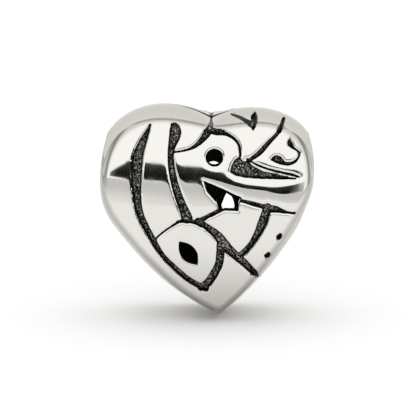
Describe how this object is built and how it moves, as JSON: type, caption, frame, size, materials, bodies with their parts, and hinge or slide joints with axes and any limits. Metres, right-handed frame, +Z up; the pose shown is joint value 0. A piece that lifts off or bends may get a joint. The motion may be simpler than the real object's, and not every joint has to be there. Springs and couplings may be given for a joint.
{
  "type": "heart bracelet bead",
  "caption": "Heart-shaped slide-on bracelet bead: two domed silver shells with blackened channels and pierced openings, lined by a ring at each end of its bore.",
  "frame": {"origin": "middle of the bracelet bore", "axes": "+X along the bore, -Y to the domed front, +Z up with the heart's tip down"},
  "size_m": [0.011, 0.0072, 0.0106],
  "materials": {
    "polished_silver": "polished",
    "ring_silver": "polished",
    "blackened_silver": "matte"
  },
  "bodies": {
    "root": {"front_shell": "polished_silver", "back_shell": "polished_silver", "left_bore_ring": "ring_silver", "right_bore_ring": "ring_silver"}
  },
  "joints": []
}
